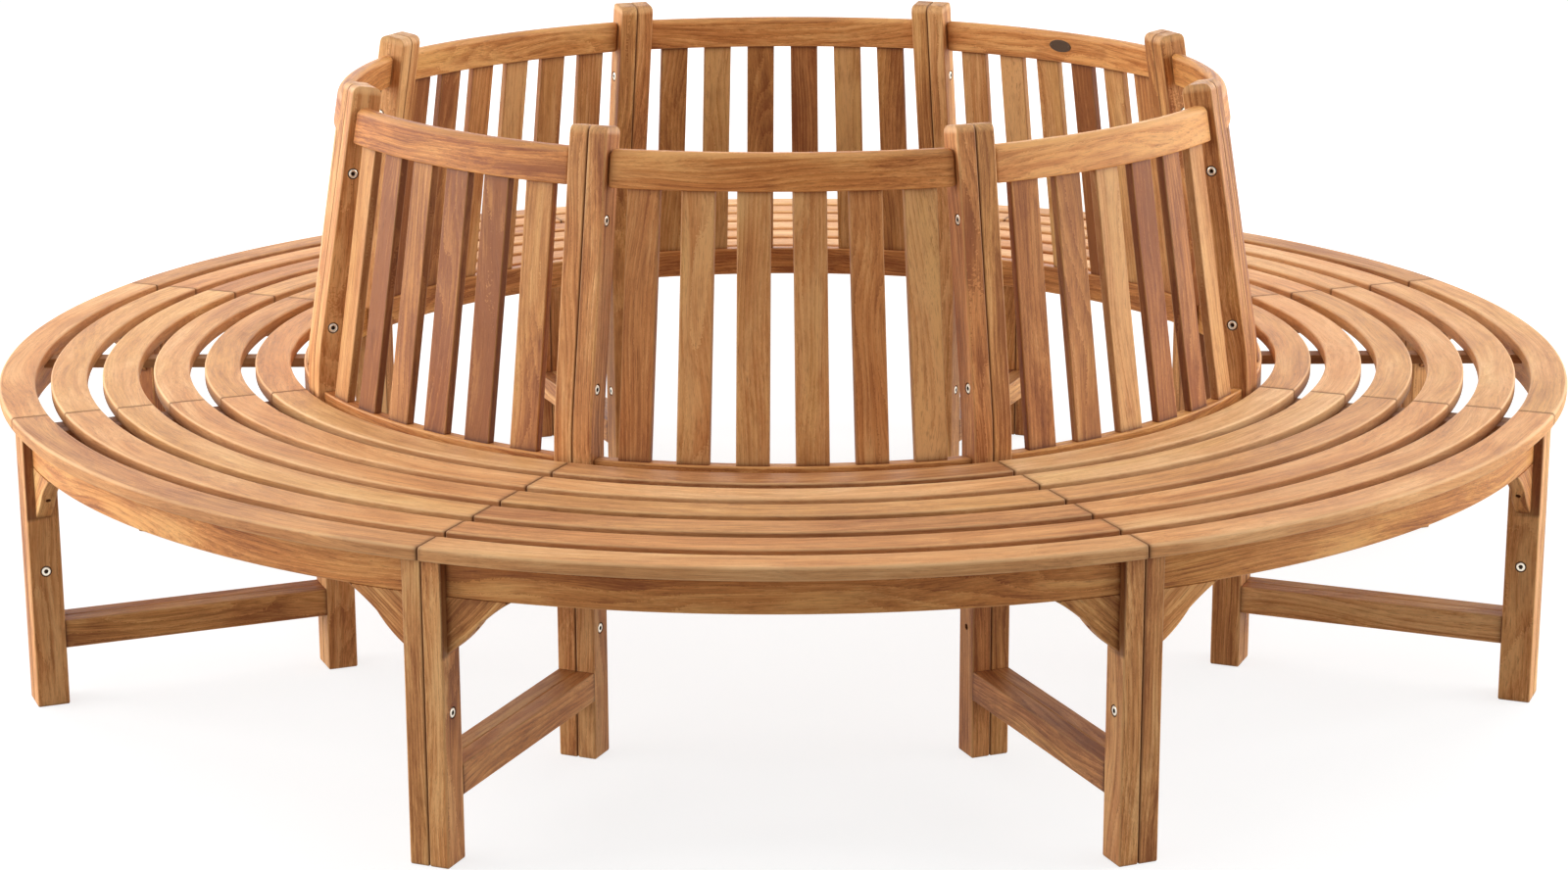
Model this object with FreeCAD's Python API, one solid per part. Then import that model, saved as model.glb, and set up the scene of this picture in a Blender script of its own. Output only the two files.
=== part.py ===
import FreeCAD, Part
import os
from math import asin, cos, degrees, radians, sin, sqrt, tan

# Tree bench: a ring of equal bench sections round an open tree space.
# The origin is on the floor at the middle of the ring, +Z points up.
# Lengths are in millimetres and angles in degrees.

Vector = FreeCAD.Vector
up_axis = Vector(0, 0, 1)

# The ring
section_count = 8
outer_radius = 1200.0
seat_height = 431.5
overall_height = 882.5
section_gap = 0.4

# Seat slats
slat_rows = 6
slat_width = 54.0
slat_gap = 22.4
slat_thickness = 19.0
slat_end_gap = 0.8

# Front legs
leg_depth = 46.5
leg_thickness = 28.0
seat_overhang = 8.5

# Back posts
post_depth = 44.5
seat_to_post_gap = 9.5
bend_radius = 480.0
bend_above_seat = 37.5
back_lean = 9.6
post_crown = 7.0

# Stretchers and seat bearers between leg and post
stretcher_height = 41.5
stretcher_above_floor = 86.0
bearer_height = 45.0

# Apron and corner brackets under the front edge
apron_height = 49.5
apron_thickness = 22.0
apron_setback = 13.0
bracket_thickness = 18.0
bracket_length = 87.5
bracket_drop = 76.5
bracket_toe = 4.0
# The ogee's middle points, as shares of the bracket's length and drop
ogee_hollow = (0.79, 0.17)
ogee_middle = (0.55, 0.43)
ogee_swell = (0.26, 0.81)

# Rails of the back, both cut to one radius, a little flatter than the ring
rail_thickness = 22.0
rail_setback = 8.0
rail_flattening = 65.0
bottom_rail_height = 46.0
bottom_rail_above_seat = 1.5
top_rail_height = 51.0
top_rail_below_post_top = 31.0

# Slats of the back
back_slat_count = 6
back_slat_width = 46.0
back_slat_thickness = 13.0
back_slat_housing = 15.0
# The gap beside a post is smaller than the gap between slats by this much
back_slat_end_trim = 3.0

# Batten under the middle of each section's seat
batten_width = 30.0
batten_height = 15.0
batten_end_gap = 0.3

# Mortise and tenon joints
tenon_thickness = 10.0
tenon_length = 17.0
tenon_shoulder = 7.0
joint_clearance = 0.2

# Places that follow from these sizes
section_angle = 360.0 / section_count
half_angle = section_angle / 2
seat_depth = slat_rows * slat_width + (slat_rows - 1) * slat_gap
slat_underside = seat_height - slat_thickness
leg_front = outer_radius - seat_overhang
leg_back = leg_front - leg_depth
post_front = outer_radius - seat_depth - seat_to_post_gap
side_near = section_gap / 2
side_far = side_near + leg_thickness
bend_height = seat_height + bend_above_seat
bend_start = bend_height - bend_radius * tan(radians(back_lean) / 2)
bend_centre = post_front - bend_radius
apron_front = leg_front - apron_setback
apron_back = apron_front - apron_thickness
apron_bottom = slat_underside - apron_height
bearer_bottom = slat_underside - bearer_height
rail_radius = post_front + rail_flattening
rail_middle = rail_setback + rail_thickness / 2
bottom_rail_top = seat_height + bottom_rail_above_seat
bottom_rail_bottom = bottom_rail_top - bottom_rail_height
top_rail_top = overall_height - top_rail_below_post_top
top_rail_bottom = top_rail_top - top_rail_height


def polar(radius, angle, z=0.0):
    """Point at a radius and an angle from the middle of the section, which lies on +X."""
    return Vector(radius * cos(radians(angle)), radius * sin(radians(angle)), z)


def end_angle(radius, side):
    """Angle where a circle meets the plane that lies side away from the joint plane."""
    return half_angle - degrees(asin(side / radius))


def box(low, high):
    """Box between two opposite corners."""
    size = [high[i] - low[i] for i in range(3)]
    return Part.makeBox(size[0], size[1], size[2], Vector(*low))


def line(start, end):
    return Part.LineSegment(start, end).toShape()


def arc(start, through, end):
    return Part.Arc(start, through, end).toShape()


def outline(points):
    """Straight edges round a closed list of points."""
    return [line(points[i - 1], points[i]) for i in range(len(points))]


def lean_point(up, behind):
    """Point of the leaning back: up its slope from the end of the bend, behind its front face."""
    lean = radians(back_lean)
    reach = bend_radius - behind
    x = bend_centre + reach * cos(lean) - up * sin(lean)
    z = bend_start + reach * sin(lean) + up * cos(lean)
    return Vector(x, 0, z)


def lean_length(height, behind):
    """Distance up the slope at which a line behind the front face reaches a height."""
    lean = radians(back_lean)
    return (height - bend_start - (bend_radius - behind) * sin(lean)) / cos(lean)


def rail_centre(place):
    """How far a rail's centre lies behind the ring's, for its front's place along the joint plane."""
    corner = polar(place, half_angle) + polar(side_far, half_angle - 90)
    return sqrt(rail_radius ** 2 - corner.y ** 2) - corner.x


def bottom_rail_centre():
    return rail_centre(post_front - rail_setback)


def top_rail_place(behind):
    """Place of a line behind the post's front face, at the height of the top rail's lower edge."""
    return lean_point(lean_length(top_rail_bottom, behind), behind).x


def top_rail_centre():
    return rail_centre(top_rail_place(rail_setback))


def wedge(side):
    """Space of one section, side away from both of its joint planes."""
    reach = 2 * outer_radius
    apex = Vector(side / sin(radians(half_angle)), 0, 0)
    points = [apex, apex + polar(reach, -half_angle), apex + polar(reach, half_angle), apex]
    return Part.Face(Part.makePolygon(points)).extrude(up_axis * 2 * overall_height)


def curved_board(inner, outer, bottom, height, side):
    """Board bent to a ring, with ends cut parallel to the joint planes."""
    outer_end = end_angle(outer, side)
    inner_end = end_angle(inner, side)
    corners = [
        polar(outer, -outer_end, bottom),
        polar(outer, outer_end, bottom),
        polar(inner, inner_end, bottom),
        polar(inner, -inner_end, bottom),
    ]
    edges = [
        arc(corners[0], polar(outer, 0, bottom), corners[1]),
        line(corners[1], corners[2]),
        arc(corners[2], polar(inner, 0, bottom), corners[3]),
        line(corners[3], corners[0]),
    ]
    return Part.Face(Part.Wire(edges)).extrude(up_axis * height)


def turned_board(edges, centre, side):
    """Profile turned about a centre behind the ring's and cut parallel to the joint planes."""
    face = Part.Face(Part.Wire(edges))
    face.rotate(Vector(0, 0, 0), up_axis, -half_angle)
    board = face.revolve(Vector(0, 0, 0), up_axis, section_angle)
    board.translate(Vector(-centre, 0, 0))
    return board.common(wedge(side))


def at_right_side(shape):
    """Turn a piece from the XZ plane to the section's right joint plane."""
    turned = shape.copy()
    turned.rotate(Vector(0, 0, 0), up_axis, half_angle)
    return turned


def both_sides(shape):
    """The piece at the right joint plane and its mirror image at the left one."""
    right = at_right_side(shape)
    left = right.mirror(Vector(0, 0, 0), Vector(0, 1, 0))
    return [left, right]


def at_section(shape, number):
    """Turn a section's piece to its place in the ring; section 1 faces -Y."""
    turned = shape.copy()
    turned.rotate(Vector(0, 0, 0), up_axis, (number - 1) * section_angle - 90)
    return turned


def bottom_rail_tenon(grow=0.0):
    """Tenon that enters the post from the section's middle, grown all round for its mortise."""
    centre = post_front - rail_middle
    half = tenon_thickness / 2 + grow
    bottom = bottom_rail_bottom + tenon_shoulder - grow
    top = bottom_rail_top - tenon_shoulder + grow
    return box([centre - half, -side_far, bottom], [centre + half, -side_far + tenon_length + grow, top])


def top_rail_tenon(grow=0.0):
    """Tenon of the top rail, square to the leaning post."""
    half = tenon_thickness / 2 + grow
    low = lean_length(top_rail_bottom + tenon_shoulder, rail_middle) - grow
    high = lean_length(top_rail_top - tenon_shoulder, rail_middle) + grow
    corners = [
        lean_point(low, rail_middle - half),
        lean_point(high, rail_middle - half),
        lean_point(high, rail_middle + half),
        lean_point(low, rail_middle + half),
    ]
    face = Part.Face(Part.Wire(outline(corners)))
    face.translate(Vector(0, -side_far, 0))
    return face.extrude(Vector(0, tenon_length + grow, 0))


def front_leg():
    return box([leg_back, -side_far, 0], [leg_front, -side_near, slat_underside])


def bend_points(behind):
    """Start, middle and end of the bend, on a line behind the post's front face."""
    reach = bend_radius - behind
    turn = radians(back_lean) / 2
    start = Vector(bend_centre + reach, 0, bend_start)
    middle = Vector(bend_centre + reach * cos(turn), 0, bend_start + reach * sin(turn))
    return start, middle, lean_point(0, behind)


def post_profile():
    """Side outline of the post: upright leg, bend, leaning back, crowned top."""
    front_bend = bend_points(0)
    back_bend = bend_points(post_depth)
    crown_up = lean_length(overall_height, post_depth / 2)
    front_top = lean_point(crown_up - post_crown, 0)
    back_top = lean_point(crown_up - post_crown, post_depth)
    crown = lean_point(crown_up, post_depth / 2)
    front_foot = Vector(post_front, 0, 0)
    back_foot = Vector(post_front - post_depth, 0, 0)
    return [
        line(front_foot, front_bend[0]),
        arc(*front_bend),
        line(front_bend[2], front_top),
        arc(front_top, crown, back_top),
        line(back_top, back_bend[2]),
        arc(*reversed(back_bend)),
        line(back_bend[0], back_foot),
        line(back_foot, front_foot),
    ]


def back_post():
    """One piece from floor to top, mortised for the tenons of both rails."""
    face = Part.Face(Part.Wire(post_profile()))
    face.translate(Vector(0, -side_far, 0))
    post = face.extrude(Vector(0, leg_thickness, 0))
    return post.cut([top_rail_tenon(joint_clearance), bottom_rail_tenon(joint_clearance)])


def side_bar(bottom, height):
    """Bar that stands between the post's front and the leg's back."""
    return box([post_front, -side_far, bottom], [leg_back, -side_near, bottom + height])


def stretcher():
    return side_bar(stretcher_above_floor, stretcher_height)


def seat_bearer():
    return side_bar(bearer_bottom, bearer_height)


def apron():
    """Curved board under the front edge, from leg to leg."""
    return curved_board(apron_back, apron_front, apron_bottom, apron_height, side_far)


def bracket_point(share):
    """Point of the bracket's outline, by its shares of the length and the drop."""
    return Vector(0, -side_far - bracket_length * share[0], apron_bottom - bracket_drop * share[1])


def bracket():
    """Ogee bracket in the corner of the right front leg and the apron."""
    top_leg = bracket_point((0, 0))
    top_tip = bracket_point((1, 0))
    foot = bracket_point((0, 1))
    toe = foot + Vector(0, -bracket_toe, bracket_toe)
    edges = [
        line(top_leg, top_tip),
        arc(top_tip, bracket_point(ogee_hollow), bracket_point(ogee_middle)),
        arc(bracket_point(ogee_middle), bracket_point(ogee_swell), toe),
        line(toe, foot),
        line(foot, top_leg),
    ]
    blank = Part.Face(Part.Wire(edges)).extrude(Vector(outer_radius, 0, 0))
    outer = apron_front - (apron_thickness - bracket_thickness) / 2
    inner = outer - bracket_thickness
    ring = curved_board(inner, outer, apron_bottom - bracket_drop, bracket_drop, side_far)
    return at_right_side(blank).common(ring)


def seat_slat(row):
    """Curved slat; row 1 is the outermost."""
    outer = outer_radius - (row - 1) * (slat_width + slat_gap)
    return curved_board(outer - slat_width, outer, slat_underside, slat_thickness, slat_end_gap / 2)


def slat_point(number, radius, centre, height):
    """Point of a slat's centre line where it meets a rail's circle about the rail's own centre."""
    angle = radians(back_slat_angle(number))
    reach = sqrt(radius ** 2 - (centre * sin(angle)) ** 2) - centre * cos(angle)
    return polar(reach, back_slat_angle(number), height)


def back_slat(number, grow=0.0):
    """Straight slat housed in both rails and square to them, grown all round for its mortises."""
    top_radius = rail_radius - top_rail_place(rail_setback) + top_rail_place(rail_middle)
    low = slat_point(number, rail_radius - rail_thickness / 2, bottom_rail_centre(), bottom_rail_top)
    high = slat_point(number, top_radius, top_rail_centre(), top_rail_bottom)
    centre = Vector(-(bottom_rail_centre() + top_rail_centre()) / 2, 0, 0)
    slope = (high - low).normalize()
    across = slope.cross((low + high) / 2 - centre).normalize()
    forward = across.cross(slope)
    start = low - slope * (back_slat_housing + grow)
    end = high + slope * (back_slat_housing + grow)
    half_width = across * (back_slat_width / 2 + grow)
    half_thickness = forward * (back_slat_thickness / 2 + grow)
    corners = [
        start - half_width - half_thickness,
        start + half_width - half_thickness,
        start + half_width + half_thickness,
        start - half_width + half_thickness,
    ]
    return Part.Face(Part.Wire(outline(corners))).extrude(end - start)


def back_slat_angle(number):
    """Angles that leave equal gaps between the slats and smaller ones beside the posts."""
    radius = post_front - rail_setback
    opening = 2 * end_angle(radius, side_far)
    slat_angle = degrees((back_slat_width + 2 * back_slat_end_trim) / radius)
    pitch = (opening + slat_angle) / (back_slat_count + 1)
    return (number - (back_slat_count + 1) / 2) * pitch


def slat_mortises():
    return [back_slat(number, joint_clearance) for number in range(1, back_slat_count + 1)]


def bottom_rail():
    """Curved rail at seat level, tenoned into both posts, mortised for the slats."""
    centre = bottom_rail_centre()
    side = side_far + centre * sin(radians(half_angle))
    inner = rail_radius - rail_thickness
    board = curved_board(inner, rail_radius, bottom_rail_bottom, bottom_rail_height, side)
    board.translate(Vector(-centre, 0, 0))
    rail = board.fuse(both_sides(bottom_rail_tenon())).removeSplitter()
    return rail.cut(slat_mortises())


def top_rail():
    """Curved leaning rail with level edges, tenoned into both posts."""
    back = rail_setback + rail_thickness
    corners = [
        lean_point(lean_length(top_rail_bottom, rail_setback), rail_setback),
        lean_point(lean_length(top_rail_top, rail_setback), rail_setback),
        lean_point(lean_length(top_rail_top, back), back),
        lean_point(lean_length(top_rail_bottom, back), back),
    ]
    outward = Vector(rail_radius - top_rail_place(rail_setback), 0, 0)
    edges = outline([corner + outward for corner in corners])
    board = turned_board(edges, top_rail_centre(), side_far)
    rail = board.fuse(both_sides(top_rail_tenon())).removeSplitter()
    return rail.cut(slat_mortises())


def batten():
    """Radial batten that ties the slats together in the middle of the section."""
    half = batten_width / 2
    inner = rail_radius - bottom_rail_centre() + batten_end_gap
    outer = apron_back * cos(asin(half / apron_back)) - batten_end_gap
    return box([inner, -half, slat_underside - batten_height], [outer, half, slat_underside])


def write_node(name, solids):
    """Write one file that holds a group of like solids."""
    group = []
    for shape in solids:
        group.extend(shape.Solids)
    Part.makeCompound(group).exportStep(os.path.join("parts", name + ".step"))
    print(name, len(group), "solids")


def write_by_section(kind, pieces):
    """One node for each section, holding that section's like pieces."""
    for number in range(1, section_count + 1):
        write_node("section_%d_%s" % (number, kind), [at_section(piece, number) for piece in pieces])


def write_round_ring(name, pieces):
    """One node for the same pieces of every section."""
    ring = []
    for number in range(1, section_count + 1):
        ring.extend(at_section(piece, number) for piece in pieces)
    write_node(name, ring)


os.makedirs("parts", exist_ok=True)
write_by_section("front_legs", both_sides(front_leg()))
write_by_section("back_posts", both_sides(back_post()))
write_by_section("stretchers", both_sides(stretcher()))
write_by_section("seat_bearers", both_sides(seat_bearer()))
write_by_section("back_slats", [back_slat(number) for number in range(1, back_slat_count + 1)])
for row in range(1, slat_rows + 1):
    write_round_ring("seat_slats_row_%d" % row, [seat_slat(row)])
write_round_ring("aprons", [apron()])
corner = bracket()
write_round_ring("corner_brackets", [corner, corner.mirror(Vector(0, 0, 0), Vector(0, 1, 0))])
write_round_ring("seat_battens", [batten()])
write_round_ring("bottom_rails", [bottom_rail()])
write_round_ring("top_rails", [top_rail()])
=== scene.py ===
import math
import bpy
import numpy as np
from mathutils import Matrix, Vector


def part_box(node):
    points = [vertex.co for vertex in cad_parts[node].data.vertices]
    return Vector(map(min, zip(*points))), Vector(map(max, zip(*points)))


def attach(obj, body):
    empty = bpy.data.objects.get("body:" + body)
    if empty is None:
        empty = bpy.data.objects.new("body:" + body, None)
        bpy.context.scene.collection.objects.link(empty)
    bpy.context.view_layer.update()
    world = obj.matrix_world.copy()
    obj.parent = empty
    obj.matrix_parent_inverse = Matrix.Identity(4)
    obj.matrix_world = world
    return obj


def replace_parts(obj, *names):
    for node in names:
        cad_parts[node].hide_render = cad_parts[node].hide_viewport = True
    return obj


# Tree bench: eight timber sections round an open tree space.
# Lengths are metres and angles degrees. A section is made with its middle on +X, then turned into place.
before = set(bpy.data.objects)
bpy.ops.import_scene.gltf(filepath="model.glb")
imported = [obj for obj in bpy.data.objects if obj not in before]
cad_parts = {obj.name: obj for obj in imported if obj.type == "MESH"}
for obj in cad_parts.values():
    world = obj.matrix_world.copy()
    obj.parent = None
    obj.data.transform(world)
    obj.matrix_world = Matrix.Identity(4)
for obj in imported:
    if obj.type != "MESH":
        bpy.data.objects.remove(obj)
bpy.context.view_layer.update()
print("frame loaded")

ring = {
    "sections": 8,
    "outerRadius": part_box("seat_slats_row_1")[1].x,
    "seatHeight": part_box("seat_slats_row_1")[1].z,
    "seatUnderside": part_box("seat_slats_row_1")[0].z,
    "postTop": 0.8825,
    "jointGap": 0.0004,
    "frameThickness": 0.028,
    "curveSteps": 30,
}
board = {
    "cornerSteps": 4,
    "shadeStations": (0.0, 0.002, 0.005, 0.009, 0.015),
    "shadeReach": 0.006,
    "sharpest": 5e-5,
    "stationsApart": 1e-5,
    "sawnEnd": (0.0, (0.0004, 0.0004), 1),
    "heartDistance": (0.03, 0.14),
    "logLength": (1, 60),
    "toneLimit": 1.7,
}
halfAngle = 180 / ring["sections"]
halfTurn = math.radians(halfAngle)
frameNear = ring["jointGap"] / 2
frameFar = frameNear + ring["frameThickness"]
frameMiddle = (frameNear + frameFar) / 2
sectionNumbers = range(1, ring["sections"] + 1)
chance = np.random.default_rng(7)


# Board surfaces
def columns(*values):
    return np.stack(values, 1)


def endStations(rounding, insets, steps):
    # A board's end: the distance from the end is rounding (1 - sin p) and the faces draw in by
    # inset (1 - cos p), with p running from 0 on the faces to a right angle on the end.
    turn = np.linspace(0, math.pi / 2, steps + 1)
    away = rounding * (1 - np.sin(turn))
    drawnIn = np.outer(1 - np.cos(turn), insets)
    return away, drawnIn, turn


def quadGrid(rows, count):
    # Faces between rows of points that each close round, as an array of rows, columns and corners.
    row, here = np.meshgrid(np.arange(rows - 1), np.arange(count), indexing="ij")
    after = (here + 1) % count
    return np.stack([row * count + here, row * count + after, (row + 1) * count + after,
                     (row + 1) * count + here], 2)


def flatPart(points, facing, faces=None, wearAndShade=(0, 0, 0)):
    # Part of a surface that faces one way: one face round its points unless faces are given.
    size = (len(points), 1)
    return points, np.tile(facing, size), np.tile(wearAndShade, size), faces or [np.arange(len(points))[None]]


def joined(parts):
    # One surface from parts, each (points, normals, wear and painted shade, faces numbered from the part's
    # first point).
    starts = np.cumsum([0] + [len(part[0]) for part in parts])
    points, normals, wearAndShade = (np.concatenate([part[k] for part in parts]) for k in range(3))
    faces = [start + face for start, part in zip(starts, parts) for face in part[3]]
    return {"points": points, "normals": normals, "wearAndShade": wearAndShade, "faces": faces}


def boardSurface(low, high, width, thickness, corners, inner, lowEnd=board["sawnEnd"], highEnd=None, holes=(),
                 meets=(0.0, 0.0), shadeReach=board["shadeReach"]):
    # A rounded rectangle carried along the board. A corner's point is its centre plus radius (cos u, sin u),
    # with u running over a quarter turn, and the board's own coordinates are (along, across, through).
    # An end that meets a neighbour, this deep inside it, gets painted shade that fades as e to the minus
    # distance over reach; a free end is minus infinity deep. Both ends are alike unless highEnd is given.
    # Holes are bored from the side where through is negative.
    halfAcross, halfThrough = width / 2, thickness / 2
    steps = board["cornerSteps"]
    nearEnd = np.array(board["shadeStations"])
    shadedAt = (low + meets[0] + nearEnd, high - meets[1] - nearEnd)
    awayLow, insetLow, turnLow = endStations(*lowEnd)
    awayHigh, insetHigh, turnHigh = endStations(*(highEnd or lowEnd))
    cuts = [hole["at"] + side * hole["patch"] for hole in holes for side in (-1, 1)]
    inside = np.unique(np.round(np.concatenate([inner, cuts, *shadedAt]), 6))
    apart = board["stationsApart"]
    inside = inside[(inside > low + awayLow[0] + apart) & (inside < high - awayHigh[0] - apart)]
    along = np.concatenate([(low + awayLow)[::-1], inside, high - awayHigh])
    inset = np.concatenate([insetLow[::-1], np.zeros((len(inside), 2)), insetHigh])
    tilt = np.concatenate([-turnLow[::-1], np.zeros(len(inside)), turnHigh])[:, None]

    quarter = np.linspace(0, math.pi / 2, steps + 1)
    angle = np.concatenate([quarter + k * math.pi / 2 for k in range(4)])
    signs = np.repeat(np.array([(1, 1), (-1, 1), (-1, -1), (1, -1)]), steps + 1, axis=0)
    radius = np.repeat(np.broadcast_to(corners, 4), steps + 1)
    cornerAcross = np.maximum(radius - inset[:, :1], board["sharpest"])
    cornerThrough = np.maximum(radius - inset[:, 1:], board["sharpest"])
    across = signs[:, 0] * (halfAcross - inset[:, :1] - cornerAcross) + cornerAcross * np.cos(angle)
    through = signs[:, 1] * (halfThrough - inset[:, 1:] - cornerThrough) + cornerThrough * np.sin(angle)
    count = len(angle)
    grid = np.stack([np.repeat(along[:, None], count, 1), across, through], 2)
    normal = np.stack([np.sin(tilt) + 0 * angle, np.cos(tilt) * np.cos(angle),
                       np.cos(tilt) * np.sin(angle)], 2)
    rounded = np.tile(np.sin(2 * (angle % (math.pi / 2))), (len(along), 1))
    rounded = np.maximum(rounded, np.sin(2 * np.abs(tilt)) + 0 * rounded)
    # Painted shade fades in from an end that meets a neighbour.
    distance = np.minimum(along - low - meets[0], high - meets[1] - along)
    endShade = np.exp(-np.maximum(distance, 0) / shadeReach)[:, None]
    ended = np.repeat(np.maximum(np.sin(np.abs(tilt)), endShade), count, 1)

    # Shares of colour: paler arrises, partly wear and partly painted highlight; darker ends, with painted
    # shade near a joint; and painted shade.
    points = grid.reshape(-1, 3)
    wearAndShade = columns(rounded.ravel(), ended.ravel(), 0 * ended.ravel())
    parts = [(points, normal.reshape(-1, 3), wearAndShade, []), flatPart(grid[0], (-1, 0, 0), wearAndShade=(0, 1, 0)),
             flatPart(grid[-1], (1, 0, 0), wearAndShade=(0, 1, 0))]
    quads = quadGrid(len(along), count)
    keep = np.ones(quads.shape[:2], bool)
    for hole in holes:
        row = int(np.argmin(np.abs(along - (hole["at"] - hole["patch"]))))
        column = 3 * (steps + 1) - 1  # the flat strip between the third corner and the fourth
        keep[row, column] = False
        parts.append(boredPatch(hole, points[quads[row, column]], -1, halfThrough))
    surface = joined(parts)
    surface["faces"].append(quads[keep])
    return surface


def boredPatch(hole, corner, facing, halfThrough):
    # A flat patch with a blind round hole: the rim is centre plus radius (cos u, sin u), then a broken edge,
    # and the wall runs straight down from it to the depth. Below the edge it is painted dark as the hole's
    # shade.
    count = connector["around"]
    middle = np.array([hole["at"], hole["across"]])
    x, y = (corner[:, :2] - middle).T
    order = 1 if x[0] * y[1] - y[0] * x[1] > 0 else -1
    start = math.radians(45 + 90 * round((math.degrees(math.atan2(y[0], x[0])) - 45) / 90))
    angle = start + order * np.arange(count) * 2 * math.pi / count
    rim = columns(np.cos(angle), np.sin(angle))
    edge = connector["brokenEdge"]
    rows = []
    for widening, depth in ((edge, 0), (0, edge), (0, hole["depth"])):
        level = np.full(count, facing * (halfThrough - depth))
        rows.append(np.column_stack([middle + (hole["radius"] + widening) * rim, level]))
    out = np.tile([0, 0, facing], (count, 1))
    inward = np.column_stack([-rim, np.zeros(count)])
    points = np.concatenate([corner, *np.repeat(rows, 2, axis=0)])
    normals = np.concatenate([out[:4], out, inward + out, inward + out, inward, inward, out])
    quarter = count // 4
    faces = []
    for k in range(4):
        arc = 4 + np.arange((k + 1) * quarter, k * quarter - 1, -1) % count
        faces.append(np.concatenate([[k, (k + 1) % 4], arc])[None])
    wall = quadGrid(2, count)[0]
    faces += [4 + count + wall, 4 + 3 * count + wall, 4 + 5 * count + np.arange(count)[None]]
    wearAndShade = np.zeros((len(points), 3))
    wearAndShade[4 + 2 * count:, 2] = 1
    return points, normals, wearAndShade, faces


# Ways a board runs
def turned(vectors, degrees):
    # Turned about Z: (x cos - y sin, x sin + y cos, z).
    c, s = math.cos(math.radians(degrees)), math.sin(math.radians(degrees))
    x, y, z = vectors.T
    return columns(x * c - y * s, x * s + y * c, z)


def halfLength(middleRadius, clearance):
    return middleRadius * (halfTurn - math.asin(clearance / middleRadius))


def alongRing(surface, middleRadius, middleHeight, clearance, lean=0.0, centre=0.0):
    # Round a circle whose centre lies behind the ring's: the radius is the middle one plus across less
    # through times the lean, and the angle is the share of the length times the angle where that radius
    # meets the end.
    slope = math.tan(math.radians(lean))
    t, a, b = surface["points"].T
    nt, na, nb = surface["normals"].T
    aside = clearance + centre * math.sin(halfTurn)
    radius = middleRadius + a - b * slope
    angle = t / halfLength(middleRadius, aside) * (halfTurn - np.arcsin(aside / radius))
    c, s = np.cos(angle), np.sin(angle)
    points = columns(radius * c - centre, radius * s, middleHeight + b)
    return points, columns(na * c - nt * s, na * s + nt * c, nb + slope * na)


def straight(surface, start, along, across):
    # start + t along + a across + b through, where through is across x along.
    axes = np.array([along, across, np.cross(along, across)])
    return surface["points"] @ axes + start, surface["normals"] @ axes


def alongPost(surface):
    # Up the post's middle line: straight to the bend, round the bend's circle, then straight up the lean.
    t, a, b = surface["points"].T
    nt, na, nb = surface["normals"].T
    reach = post["bendRadius"] - post["depth"] / 2
    turn = np.clip((t - post["bendStart"]) / reach, 0, postLean)
    c, s = np.cos(turn), np.sin(turn)
    beyond = np.where(t < post["bendStart"], t - post["bendStart"],
                      np.maximum(t - post["bendStart"] - reach * postLean, 0))
    x = post["front"] - post["bendRadius"] + (reach + a) * c - beyond * s
    z = post["bendStart"] + (reach + a) * s + beyond * c
    return columns(x, b - frameMiddle, z), columns(na * c - nt * s, nb, na * s + nt * c)


def toSide(placed, side):
    # From the plane of the right frame to the right (1) or left (-1) joint of the section.
    return [turned(vectors * np.array([1, side, 1]), side * halfAngle) for vectors in placed]


# Meshes
def grainOf(points):
    # Each board is cut from its own place in a log: its heart runs beside it at a chance distance.
    distance = chance.uniform(*board["heartDistance"])
    bearing = chance.uniform(0, 2 * math.pi)
    place = chance.uniform(*board["logLength"])
    return points + [place, distance * math.cos(bearing), distance * math.sin(bearing)]


def makeBoard(surface, placed, shaded=0.0):
    # shaded is a share from 0 to 1 of painted shade, for sides and recesses that light hardly reaches.
    tone = np.array([chance.normal(0, 1), chance.normal(0, 1), chance.uniform(0, 1)])
    tone = tone.clip(-board["toneLimit"], board["toneLimit"])
    grain = grainOf(surface["points"])
    points, normals = placed
    normals = normals / np.linalg.norm(normals, axis=1, keepdims=True)
    wearAndShade = surface["wearAndShade"]
    wearAndShade = np.column_stack([wearAndShade[:, :2], np.maximum(wearAndShade[:, 2], shaded)])
    return {"points": points, "normals": normals, "grain": grain, "wearAndShade": wearAndShade,
            "tone": np.tile(tone, (len(points), 1)), "faces": surface["faces"]}


def sectionAngle(number):
    return (number - 1) * 2 * halfAngle - 90


def atSection(made, number):
    angle = sectionAngle(number)
    return {**made, "points": turned(made["points"], angle), "normals": turned(made["normals"], angle)}


def outwardFaces(faces, points, normals):
    # A face is turned over where its own normal is against the mean of its corners' normals.
    ordered = []
    for group in faces:
        ringOf = points[group]
        own = np.cross(ringOf, np.roll(ringOf, -1, axis=1)).sum(1)
        wanted = normals[group].sum(1)
        wrong = (own * wanted).sum(1) < 0
        ordered.append(np.where(wrong[:, None], group[:, ::-1], group))
    return ordered


def addPiece(name, mesh, material):
    mesh.materials.append(material)
    piece = bpy.data.objects.new(name, mesh)
    bpy.context.scene.collection.objects.link(piece)
    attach(piece, "root")
    return piece


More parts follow.
